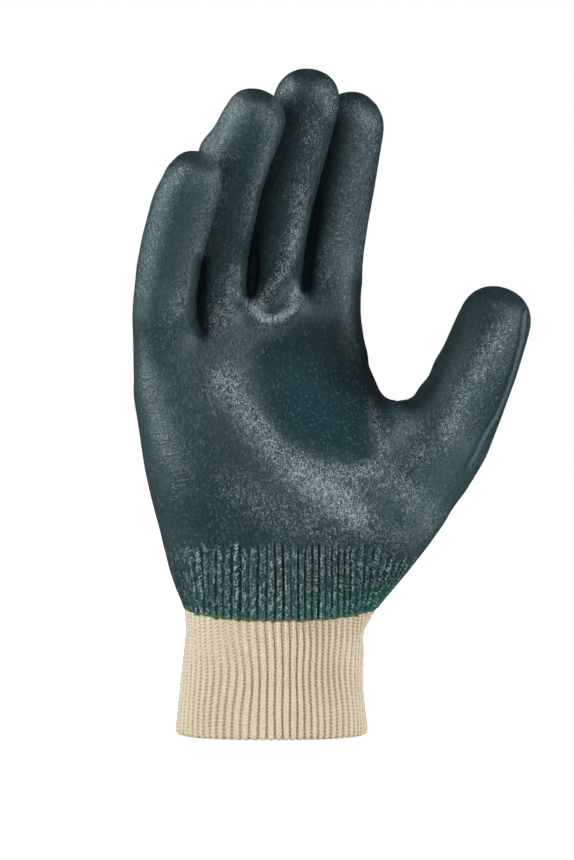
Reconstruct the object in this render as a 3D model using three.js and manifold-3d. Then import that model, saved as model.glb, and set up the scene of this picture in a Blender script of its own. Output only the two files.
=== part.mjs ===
// A right-hand work glove, PVC coated over a cotton lining, on a rib-knit wrist.
// It has the form that it takes on a relaxed hand: upright, the palm facing -Y, the thumb towards +X.
// Millimetres, +Z from the wrist to the fingertips. The origin is the middle of the wrist opening.
//
// The pieces: the palm, one dipped skin from the finger roots to the dip line, ribbed where it covers the
// top of the knit; four fingers and a thumb, each a dipped skin that carries on from the palm's; and the
// knit wrist, whose upper end runs on inside the ribbed skin up to the seam.
import * as THREE from 'three';
import Module from 'manifold-3d';

const wasm = await Module();
wasm.setup();

// Driving sizes
const COAT_WALL = 2.0; // lining and coating together
const RIB_COUNT = 56;
const RIB_DEPTH = 1.0;
const RIB_SKIN_WALL = 2.2; // the coated skin over the knit, at a rib's crest
const KNIT_WALL = 3.5; // the bare knit, folded double, at a rib's crest
const COAT_PROUD = 0.4; // how far the coat stands over the bare knit
const PIECE_GAP = 0.3;
const SLEEVE_GAP = 0.65; // round the hidden end of the knit, inside the coated skin
const SEAM_Z = 76; // where the hand is sewn to the knit
const DIP_Z = 51.6; // where the coating ends, at mid-depth
const DIP_SLOPE = 0.175; // the glove was dipped a little palm-down, so the line falls towards the palm
const HEM_ROUND = 0.9; // how far the folded hem rounds over
const HAND_SIDES = 44;
const FINGER_SIDES = 16;
const HOLLOW_SIDES = 32; // the hollows have fewer sides, because they show less
const FINGER_HOLLOW_SIDES = 12;
const FINGER_RINGS = 7;
const TIP_RINGS = 4; // rings of a round end, the last one POLE_SHARE of a step short of its pole
const POLE_SHARE = 0.4;
const TIP_SQUARE = 2.25; // 2 gives a half-round fingertip, more gives a blunter one
const TOP_LENGTH = 9.5; // the round-over between the fingers
const TOP_SHRINK = 5; // how far the round-over narrows at each side
const TILT_FROM = 138; // where the tilt of the finger roots begins
const TOP_TILT = 0.28; // the finger roots climb towards the index finger
const RELIEF_EDGE = 0.9; // the share of the half-thickness where a swelling reaches its full push
const SEAM_LAP = 2.5; // how far the ribbing's solid runs on under the hand, and sinks by SEAM_SINK
const SEAM_SINK = 0.8;
const SLEEVE_SHORT = 2; // how far below the seam the knit's hidden end stops
const RIB_SHARES = [0, 0.3, 0.65, 1]; // the coated ribbing's rings, from the dip line to the seam
const BARE_HEIGHTS = [1.2, 20, 42]; // the bare knit's rings
const HOLLOW_START = 39; // the palm's hollow starts this low, well under the dip line
const KNIT_HOLLOW_LOW = 16; // a ring of the knit's hollow
const HEM_CUT = -1; // the knit's hollow starts under the hem, so that it opens it
const OUTLINE_SAMPLES = 240;
const TANGENT_STEP = 0.5;

// The wrist and the hand up to the finger roots, as closed sections.
// left and right are the outline's edges in X, middle is the section's mid-depth in Y, half its
// half-thickness, shear how far it slants towards the palm on the little-finger side, square its squareness.
const SECTION_COLUMNS = ['z', 'left', 'right', 'middle', 'half', 'shear', 'square'];
const WRIST = [
  [-2, -39.6, 39.6, 0, 27.5, 0, 2.1],
  [2, -39.2, 39.0, 0, 27.2, 0, 2.1],
  [14, -38.0, 37.2, 0, 26.0, 0, 2.1],
  [32, -35.8, 36.8, 0, 25.0, 0, 2.1],
  [44, -34.9, 38.4, 0, 25.0, 0, 2.1],
  [52, -35.6, 43.2, 0, 25.4, 0, 2.1],
  [60, -39.2, 50.0, 0, 26.0, 0, 2.15],
  [68, -41.6, 56.6, 0, 26.6, 0, 2.2],
];
const HAND = [
  [76, -43.3, 62.6, 0, 27.0, 0.0, 2.25],
  [86, -45.8, 69.9, -1, 26.6, 0.02, 2.45],
  [96, -48.2, 75.0, -2, 25.8, 0.05, 2.65],
  [106, -50.3, 76.5, -2, 24.4, 0.08, 2.75],
  [116, -52.0, 71.5, -2, 22.0, 0.12, 2.75],
  [125, -53.4, 62.0, -2, 19.6, 0.16, 2.65],
  [132, -54.4, 52.5, -1.5, 17.6, 0.2, 2.6],
  [138, -54.6, 44.8, -1, 16.0, 0.24, 2.6],
  [145, -53.4, 40.2, 0, 14.2, 0.29, 2.65],
  [153, -51.5, 37.0, 0.5, 12.6, 0.34, 2.8],
  [162, -46.0, 33.5, 1, 11.0, 0.38, 2.9],
];

// Swellings and hollows of the palm (side -1) and of the back (side 1): where, how wide, and how far out.
const RELIEF_COLUMNS = ['side', 'x', 'z', 'radius_x', 'radius_z', 'push'];
const RELIEF = [
  [-1, -42, 146, 12, 14, 2.0], // pad under the little finger
  [-1, -12, 152, 20, 10, 1.2], // pad under the ring and middle fingers
  [-1, 24, 152, 12, 12, 1.5], // pad under the index finger
  [-1, 14, 132, 20, 19, -5.5], // hollow of the palm
  [-1, 46, 108, 20, 26, 4.5], // ball of the thumb
  [-1, -32, 106, 20, 30, 3.0], // heel of the hand
  [1, -40, 154, 9, 11, 1.8], // knuckles
  [1, -20, 157, 9, 11, 1.8],
  [1, 1, 157, 9, 11, 1.8],
  [1, 24, 157, 9, 11, 1.8],
];

// Fingers as tubes: the centre line from inside the palm to the middle of the tip, with half sizes across
// and through.
const FINGER_COLUMNS = ['x', 'y', 'z', 'across', 'through'];
const FINGERS = {
  little: [
    [-38.1, -7.0, 133.1, 12.3, 10.5],
    [-40.6, -10.8, 145.8, 14.2, 11.4],
    [-41.8, -13.8, 159.6, 13.0, 10.2],
    [-42.0, -20.5, 173.1, 12.6, 10.1],
    [-40.1, -29.5, 186.4, 12.7, 10.5],
    [-36.4, -41.0, 200.0, 12.7, 10.8],
    [-32.4, -50.0, 211.7, 12.8, 10.8],
    [-30.9, -54.0, 216.4, 12.7, 10.6],
  ],
  ring: [
    [-19.9, -3.0, 147.9, 10.8, 10.2],
    [-21.3, -3.8, 163.9, 11.0, 9.9],
    [-21.9, -6.4, 177.7, 11.5, 10.0],
    [-21.1, -11.9, 193.3, 12.3, 10.6],
    [-18.8, -19.5, 208.6, 13.5, 11.3],
    [-15.7, -29.5, 225.4, 14.9, 11.8],
    [-8.7, -38.5, 240.3, 14.3, 11.0],
  ],
  middle: [
    [-0.8, 4.5, 154.1, 11.0, 11.0],
    [-0.4, 5.0, 168.2, 11.4, 10.8],
    [-0.0, 4.0, 182.2, 11.8, 10.7],
    [1.8, -0.5, 200.0, 12.2, 11.0],
    [5.0, -6.5, 217.5, 12.9, 11.1],
    [9.4, -14.0, 234.7, 13.4, 11.2],
    [13.4, -20.5, 250.4, 13.6, 10.7],
  ],
  index: [
    [23.4, 12.0, 156.3, 12.5, 11.0],
    [23.4, 13.4, 172.6, 12.7, 11.1],
    [23.4, 14.8, 186.8, 13.2, 11.3],
    [25.4, 13.4, 202.9, 13.1, 11.2],
    [28.2, 9.5, 218.8, 13.1, 11.3],
    [30.5, 4.7, 234.4, 13.3, 11.4],
    [32.0, 1.2, 243.9, 13.4, 11.1],
  ],
  thumb: [
    [31.3, 4.0, 69.8, 12.0, 12.0],
    [44.8, -1.0, 89.2, 19.2, 16.1],
    [56.1, -6.0, 106.1, 24.1, 19.7],
    [66.1, -9.0, 120.4, 22.4, 18.8],
    [73.6, -10.5, 131.9, 19.0, 16.6],
    [78.3, -12.0, 140.2, 17.2, 15.3],
    [81.4, -13.0, 146.9, 16.2, 14.6],
    [84.4, -14.0, 154.8, 15.5, 14.0],
    [87.5, -15.0, 163.5, 15.0, 13.2],
  ],
};
const TIP_LENGTH = 1.02; // a tip's round end, as a share of its half size across
// The height where each digit's piece parts from the palm's, over the webs beside it.
const ROOT_CUTS = { little: 179, ring: 180, middle: 184, index: 187, thumb: 137 };
const DIGIT_NAMES = {
  little: 'little_finger',
  ring: 'ring_finger',
  middle: 'middle_finger',
  index: 'index_finger',
  thumb: 'thumb',
};
// The fold of skin in front of the middle finger's root, as a ridge in the shape of a U.
const FOLD = [
  [-10.0, -3.0, 176, 2.4, 2.4],
  [-9.4, -5.0, 172, 2.8, 2.8],
  [-7.0, -6.5, 168.4, 3.0, 3.0],
  [-2.4, -6.2, 166.2, 3.0, 3.0],
  [3.0, -4.6, 167.4, 2.8, 2.8],
  [7.6, -2.0, 170.6, 2.6, 2.6],
  [10.4, 2.5, 174.0, 2.4, 2.4],
];
const FOLD_SIDES = 10;
const FAN_ANGLE = THREE.MathUtils.degToRad(22); // the fingers' broad side is turned by this about Z
const FINGER_BROAD = new THREE.Vector3(Math.cos(FAN_ANGLE), Math.sin(FAN_ANGLE), 0);
const FOLD_BROAD = new THREE.Vector3(0, 1, 0);

// A function that gives a smooth row at any position, from rows at the given positions.
function smoothRows(columns, rows, positions) {
  const curve = new THREE.CubicInterpolant(positions, rows.flat(), columns.length);
  return (at) => {
    const values = curve.evaluate(at);
    return Object.fromEntries(columns.map((name, i) => [name, values[i]]));
  };
}

const sectionRows = [...WRIST, ...HAND];
const sectionAt = smoothRows(SECTION_COLUMNS, sectionRows, sectionRows.map((row) => row[0]));
const relief = RELIEF.map((row) => Object.fromEntries(RELIEF_COLUMNS.map((name, i) => [name, row[i]])));

// The same closed line with its points spaced evenly along it.
function evenly(points, count) {
  const closed = [...points, points[0]];
  const run = [0];
  for (let i = 1; i < closed.length; i++) run.push(run[i - 1] + closed[i].distanceTo(closed[i - 1]));
  const whole = run.at(-1);
  const spaced = [];
  for (let k = 0, i = 0; k < count; k++) {
    const at = (k / count) * whole;
    while (run[i + 1] <= at) i++;
    spaced.push(closed[i].clone().lerp(closed[i + 1], (at - run[i]) / (run[i + 1] - run[i])));
  }
  return spaced;
}

// A section of the wrist or hand, taken in by inset, as count points from the middle of the back round by
// the little finger.
function section(row, inset, count) {
  const middleX = (row.left + row.right) / 2;
  const halfX = (row.right - row.left) / 2 - inset;
  const halfY = row.half - inset;
  const power = 2 / row.square;
  const points = [];
  for (let i = 0; i < OUTLINE_SAMPLES; i++) {
    const turn = Math.PI / 2 + (i / OUTLINE_SAMPLES) * 2 * Math.PI;
    const c = Math.cos(turn);
    const s = Math.sin(turn);
    const x = halfX * Math.sign(c) * Math.abs(c) ** power;
    const y = halfY * Math.sign(s) * Math.abs(s) ** power;
    points.push(new THREE.Vector3(middleX + x, row.middle + y + row.shear * x, row.z));
  }
  return evenly(points, count).map((p) => raised(p, row));
}

// A point of the hand, moved by the palm's and the back's relief.
function raised(point, row) {
  const middleX = (row.left + row.right) / 2;
  const height = (point.y - row.middle - row.shear * (point.x - middleX)) / row.half;
  for (const r of relief) {
    const facing = THREE.MathUtils.smoothstep(height * r.side, 0, RELIEF_EDGE);
    const far = ((point.x - r.x) / r.radius_x) ** 2 + ((point.z - r.z) / r.radius_z) ** 2;
    point.y += r.side * r.push * facing * Math.exp(-far);
  }
  return point;
}

// A closed solid through rings of equal count, which turn anticlockwise seen from the last ring's end.
function loft(rings) {
  const count = rings[0].length;
  const positions = rings.flat();
  const middle = (ring) => ring.reduce((sum, p) => sum.add(p), new THREE.Vector3()).divideScalar(count);
  const first = positions.push(middle(rings[0])) - 1;
  const last = positions.push(middle(rings.at(-1))) - 1;
  const index = [];
  for (let k = 0; k < count; k++) {
    const next = (k + 1) % count;
    for (let r = 0; r < rings.length - 1; r++) {
      const a = r * count;
      const b = a + count;
      index.push(a + k, a + next, b + k, a + next, b + next, b + k);
    }
    const end = (rings.length - 1) * count;
    index.push(first, next, k, last, end + k, end + next);
  }
  return solid(positions, index);
}

function solid(positions, index) {
  return new wasm.Manifold(
    new wasm.Mesh({
      numProp: 3,
      vertProperties: new Float32Array(positions.flatMap((p) => [p.x, p.y, p.z])),
      triVerts: new Uint32Array(index),
    }),
  );
}

// The angle up a round end of its ring i.
const tipTurn = (i) => (i / (TIP_RINGS + POLE_SHARE)) * (Math.PI / 2);

// The rings of a finger or the fold, taken in by inset: a tube along its centre line with a round tip.
// broad is the direction of its broad side, made square to the line.
function tubeRings(rows, inset, sides, broad) {
  const points = rows.map(([x, y, z]) => new THREE.Vector3(x, y, z));
  const run = [0];
  for (let i = 1; i < points.length; i++) run.push(run[i - 1] + points[i].distanceTo(points[i - 1]));
  const rowAt = smoothRows(FINGER_COLUMNS, rows, run);
  const whole = run.at(-1);
  const centre = (at) => {
    const row = rowAt(at);
    return new THREE.Vector3(row.x, row.y, row.z);
  };
  const ring = (at, share, lift) => {
    const row = rowAt(at);
    const along = centre(at).sub(centre(at - TANGENT_STEP)).normalize();
    const across = broad.clone().addScaledVector(along, -broad.dot(along)).normalize();
    const through = new THREE.Vector3().crossVectors(along, across);
    const middle = centre(at).addScaledVector(along, lift);
    return Array.from({ length: sides }, (_, k) => {
      const turn = (k / sides) * 2 * Math.PI;
      return middle
        .clone()
        .addScaledVector(across, (row.across - inset) * share * Math.cos(turn))
        .addScaledVector(through, (row.through - inset) * share * Math.sin(turn));
    });
  };
  const rings = [];
  for (let i = 0; i <= FINGER_RINGS; i++) {
    rings.push(ring(TANGENT_STEP + ((whole - TANGENT_STEP) * i) / FINGER_RINGS, 1, 0));
  }
  const tip = rowAt(whole).across * TIP_LENGTH - inset;
  for (let i = 1; i <= TIP_RINGS; i++) {
    const turn = tipTurn(i);
    const power = 2 / TIP_SQUARE;
    rings.push(ring(whole, Math.cos(turn) ** power, tip * Math.sin(turn) ** power));
  }
  return rings;
}

// The palm and back, from below the seam to the round-over between the fingers.
function palmRings(inset, heights, sides) {
  const rings = heights.map((z) => section(sectionAt(z), inset, sides));
  const topRow = sectionAt(HAND.at(-1)[0]);
  for (let i = 1; i <= TIP_RINGS; i++) {
    const turn = tipTurn(i);
    const shrunk = { ...topRow };
    shrunk.z += (TOP_LENGTH - inset) * Math.sin(turn);
    shrunk.left += TOP_SHRINK * (1 - Math.cos(turn));
    shrunk.right -= TOP_SHRINK * (1 - Math.cos(turn));
    shrunk.half = inset + (topRow.half - inset) * Math.cos(turn);
    rings.push(section(shrunk, inset, sides));
  }
  const middleX = (topRow.left + topRow.right) / 2;
  for (const point of rings.flat()) {
    const share = THREE.MathUtils.smoothstep(point.z, TILT_FROM, topRow.z);
    point.z += TOP_TILT * share * (point.x - middleX);
  }
  return rings;
}

// The height of the dip line, at a depth in Y.
const dipHeight = (y) => DIP_Z + DIP_SLOPE * y;

// A ring of the ribbed wrist, share of the way from the dip line to the seam, or at height z below the line.
// inset is the crest's distance inside the outline, and depth how much deeper the troughs are.
function ribRing(place, inset, depth, count = RIB_COUNT * 2) {
  const level = place.share === undefined ? place.z : DIP_Z;
  const guide = section(sectionAt(level), inset, count);
  return guide.map((p, k) => {
    const low = dipHeight(p.y);
    const z = place.share === undefined ? place.z : low + (SEAM_Z - low) * place.share + (place.lift ?? 0);
    const row = sectionAt(z);
    const spot = section(row, inset + (k % 2) * depth, count)[k];
    return new THREE.Vector3(spot.x, spot.y, z);
  });
}

const above = (shape, z) => shape.trimByPlane([0, 0, 1], z);
const below = (shape, z) => shape.trimByPlane([0, 0, -1], -z);

// The dipped skin, as the palm and the five digits by name.
function coatedHand() {
  const handHeights = HAND.map(([z]) => z);
  const wristHeights = WRIST.map(([z]) => z).filter((z) => z > HOLLOW_START);
  const ribbed = RIB_SHARES.map((share) => ribRing({ share }, 0, RIB_DEPTH));
  ribbed.push(ribRing({ share: 1, lift: SEAM_LAP }, SEAM_SINK, RIB_DEPTH));
  let palm = loft(palmRings(0, handHeights, HAND_SIDES)).add(loft(ribbed));
  palm = palm.add(loft(tubeRings(FOLD, 0, FOLD_SIDES, FOLD_BROAD)));
  const hollow = wristHeights.map((z) => section(sectionAt(z), RIB_SKIN_WALL, HOLLOW_SIDES));
  let inside = loft([...hollow, ...palmRings(COAT_WALL, handHeights, HOLLOW_SIDES)]);
  const pieces = {};
  for (const [digit, rows] of Object.entries(FINGERS)) {
    const outer = loft(tubeRings(rows, 0, FINGER_SIDES, FINGER_BROAD));
    const inner = loft(tubeRings(rows, COAT_WALL, FINGER_HOLLOW_SIDES, FINGER_BROAD));
    palm = palm.add(below(outer, ROOT_CUTS[digit] - PIECE_GAP / 2));
    inside = inside.add(inner);
    pieces[DIGIT_NAMES[digit]] = above(outer.subtract(inner), ROOT_CUTS[digit] + PIECE_GAP / 2);
  }
  return { palm: palm.subtract(inside), ...pieces };
}

function knitWrist() {
  const hidden = RIB_SKIN_WALL + SLEEVE_GAP;
  const inside = COAT_PROUD + KNIT_WALL;
  const bare = [ribRing({ z: 0 }, COAT_PROUD + HEM_ROUND, RIB_DEPTH / 2)];
  for (const z of BARE_HEIGHTS) bare.push(ribRing({ z }, COAT_PROUD, RIB_DEPTH));
  bare.push(ribRing({ share: 0, lift: -PIECE_GAP }, COAT_PROUD, RIB_DEPTH));
  const sleeveTop = { share: 1, lift: -SLEEVE_SHORT };
  const sleevePlaces = [{ z: BARE_HEIGHTS.at(-1) }, { share: 0 }, { share: 0.5 }, sleeveTop];
  const sleeve = sleevePlaces.map((place) => ribRing(place, hidden, 0, HAND_SIDES));
  const upPlaces = [0, 0.5, 1].map((share) => ({ share }));
  const hollowPlaces = [{ z: BARE_HEIGHTS[0] }, { z: KNIT_HOLLOW_LOW }, ...upPlaces];
  const hollow = hollowPlaces.map((place) => ribRing(place, inside, 0, HOLLOW_SIDES));
  hollow.unshift(ribRing({ z: 0 }, inside - HEM_ROUND, 0, HOLLOW_SIDES));
  hollow.unshift(ribRing({ z: HEM_CUT }, inside - HEM_ROUND, 0, HOLLOW_SIDES));
  return loft(bare).add(loft(sleeve)).subtract(loft(hollow));
}

function mesh(name, shape, color, roughness) {
  const made = shape.getMesh();
  const geometry = new THREE.BufferGeometry();
  const positions = new Float32Array(made.numVert * 3);
  for (let i = 0; i < made.numVert; i++) {
    positions.set(made.vertProperties.subarray(i * made.numProp, i * made.numProp + 3), i * 3);
  }
  geometry.setAttribute('position', new THREE.BufferAttribute(positions, 3));
  geometry.setIndex(new THREE.BufferAttribute(made.triVerts, 1));
  geometry.computeVertexNormals();
  const piece = new THREE.Mesh(geometry, new THREE.MeshStandardMaterial({ color, roughness, metalness: 0 }));
  piece.name = name;
  return piece;
}

const glove = new THREE.Group();
glove.name = 'glove';
for (const [name, shape] of Object.entries(coatedHand())) glove.add(mesh(name, shape, 0x1f4a4c, 0.5));
glove.add(mesh('knit_wrist', knitWrist(), 0xdccaa6, 0.95));

export default glove;
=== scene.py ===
"""A right-hand work glove, PVC coated over a cotton lining, on a rib-knit wrist, in the form of a relaxed hand."""
import math
from contextlib import contextmanager

import bmesh
import bpy
import numpy as np
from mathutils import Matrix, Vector
from mathutils.bvhtree import BVHTree


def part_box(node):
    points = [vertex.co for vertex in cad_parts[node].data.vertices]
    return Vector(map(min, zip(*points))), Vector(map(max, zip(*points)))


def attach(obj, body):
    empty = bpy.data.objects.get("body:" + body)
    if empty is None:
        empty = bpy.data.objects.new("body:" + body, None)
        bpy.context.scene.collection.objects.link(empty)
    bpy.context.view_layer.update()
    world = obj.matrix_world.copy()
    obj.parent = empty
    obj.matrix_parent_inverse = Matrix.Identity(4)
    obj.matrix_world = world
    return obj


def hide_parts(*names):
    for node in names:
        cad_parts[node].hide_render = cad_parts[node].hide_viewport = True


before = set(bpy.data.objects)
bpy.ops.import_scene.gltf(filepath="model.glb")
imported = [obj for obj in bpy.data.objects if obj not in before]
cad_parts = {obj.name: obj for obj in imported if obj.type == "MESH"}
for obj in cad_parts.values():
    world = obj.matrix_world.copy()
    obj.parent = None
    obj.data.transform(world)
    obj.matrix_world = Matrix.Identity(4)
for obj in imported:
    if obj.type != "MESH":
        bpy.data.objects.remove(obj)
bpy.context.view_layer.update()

bl_info = {
    "name": "Coated Work Glove",
    "version": (1, 0, 0),
    "blender": (4, 5, 0),
    "location": "View3D > Sidebar > Glove",
    "description": "Builds the coated hand, the knit wrist and the studio of a PVC coated work glove",
    "category": "Object",
}

MM = 0.001
CAMERA_Y = -1.2
CAMERA_HEIGHT = 122 * MM
LENS = 125.6
SENSOR = 36
DIGITS = ("little_finger", "ring_finger", "middle_finger", "index_finger", "thumb")
HAND_NODES = ("palm", *DIGITS)

# The wrist: the coating ends on a sloping plane, and the knit under it is sewn to the hand at the seam.
DIP_HEIGHT = 51.6 * MM
DIP_SLOPE = 0.175
SEAM_HEIGHT = 76 * MM
KNIT_IN_COAT = 0.4 * MM
KNIT_WALL = 3.5 * MM
SLEEVE_INSET = 2.85 * MM
SLEEVE_TOP = 73 * MM
BAND_TOP = 80.5 * MM
BAND_ROWS = 60
HAND_CUT = BAND_TOP + 0.8 * MM
FITTED_TO_OUTLINE = 90 * MM, 83 * MM
COLUMNS_PER_RIB = 7
HEM_TOP = 2.2 * MM
HEM_STEPS = 12
BARE_STEP = 0.36 * MM
INSIDE_ROWS = 30
OUTLINE_TURNS = 360
OUTLINE_WAVES = 12
UPRIGHT_X = 6 * MM
UPRIGHT_LEFT, UPRIGHT_RIGHT = -27 * MM, 33 * MM
RIB_DENSITY = ((0.0, 54), (0.2, 56), (0.3, 71), (0.36, 66), (0.4, 58), (0.48, 60), (0.54, 78), (0.72, 80),
               (0.8, 60), (1.0, 54))

# The meshes of the hand's skin and lining
SKIN_VOXEL = 0.75 * MM
SMOOTH_ROUNDS = 60
SKIN_THINNED = 0.34
SMOOTH_BACK = 0.3 * MM
LINING_VOXEL = 2.7 * MM
LINING_DEPTH = 1.4 * MM
LINING_SLACK = 0.05 * MM
LINING_ROUNDS = 12


def smoothstep(low, high, value):
    share = np.clip((value - low) / (high - low), 0, 1)
    return share * share * (3 - 2 * share)


def coordinates(mesh):
    found = np.empty(len(mesh.vertices) * 3)
    mesh.vertices.foreach_get("co", found)
    return found.reshape(-1, 3)


def normals(mesh):
    found = np.empty(len(mesh.vertices) * 3)
    mesh.vertices.foreach_get("normal", found)
    return found.reshape(-1, 3)


def put_coordinates(mesh, points):
    mesh.vertices.foreach_set("co", points.ravel())
    mesh.update()


def put_attributes(mesh, **named):
    for name, values in named.items():
        layer = mesh.attributes.new(name, "FLOAT", "POINT")
        layer.data.foreach_set("value", np.asarray(values, dtype=np.float32))


def new_object(name, mesh):
    piece = bpy.data.objects.new(name, mesh)
    bpy.context.scene.collection.objects.link(piece)
    return piece


def mesh_from(bm, name):
    mesh = bpy.data.meshes.new(name)
    bm.to_mesh(mesh)
    bm.free()
    return mesh


@contextmanager
def editing(mesh):
    """A bmesh of the mesh, written back at the end."""
    bm = bmesh.new()
    bm.from_mesh(mesh)
    yield bm
    bm.to_mesh(mesh)
    bm.free()


def tree_of(*meshes):
    bm = bmesh.new()
    for mesh in meshes:
        bm.from_mesh(mesh)
    tree = BVHTree.FromBMesh(bm)
    bm.free()
    return tree


def with_modifiers_applied(piece):
    graph = bpy.context.evaluated_depsgraph_get()
    done = bpy.data.meshes.new_from_object(piece.evaluated_get(graph), depsgraph=graph)
    old = piece.data
    piece.modifiers.clear()
    piece.data = done
    bpy.data.meshes.remove(old)
    return piece


def remeshed(piece, voxel):
    step = piece.modifiers.new("remesh", "REMESH")
    step.mode = "VOXEL"
    step.voxel_size = voxel
    step.use_smooth_shade = True
    return with_modifiers_applied(piece)


def smoothed(piece, rounds, group=""):
    step = piece.modifiers.new("smooth", "SMOOTH")
    step.factor = 0.5
    step.iterations = rounds
    step.vertex_group = group
    return with_modifiers_applied(piece)


def shade_smooth(mesh):
    mesh.polygons.foreach_set("use_smooth", np.ones(len(mesh.polygons), dtype=bool))


def rib_valley(rib):
    """0 on a rib's crest and 1 in the trough between two ribs."""
    across = 1 - np.abs(rib - np.floor(rib) - 0.5) * 2
    return smoothstep(0.42, 0.9, across)


def own_wave(rib, ribs, turns):
    """A value of each rib's own from -1 to 1, the same again after a whole turn round the wrist."""
    return np.sin(np.rint(rib) * 2 * math.pi * turns / ribs)


def stitch_rows(z, rib, settings):
    """Rows of stitches up to a height, shifted a little from rib to rib."""
    return z / settings.stitch + 0.3 * own_wave(rib, settings.ribs, 11)


def stitch_values(z, rib, settings):
    """What the rib_stitch group reads at each vertex."""
    turn = 2 * math.pi * rib
    return {"rib_cos": np.cos(turn), "rib_sin": np.sin(turn), "stitch_rows": stitch_rows(z, rib, settings)}


def wrapped_grid(name, table, closed):
    """A grid that lies on a table of places, row after row round the wrist; a closed one ends on its first row."""
    count, columns = table.shape[:2]
    rows = count if closed else count - 1
    bm = bmesh.new()
    bmesh.ops.create_grid(bm, x_segments=columns, y_segments=rows, size=1)
    mesh = mesh_from(bm, name)
    flat = coordinates(mesh)
    column = np.rint((flat[:, 0] + 1) / 2 * columns).astype(int) % columns
    row = np.rint((flat[:, 1] + 1) / 2 * rows).astype(int) % count
    put_coordinates(mesh, table[row, column])
    with editing(mesh) as bm:
        bmesh.ops.remove_doubles(bm, verts=bm.verts, dist=0.001 * MM)
        bmesh.ops.recalc_face_normals(bm, faces=bm.faces)
    return mesh


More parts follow.
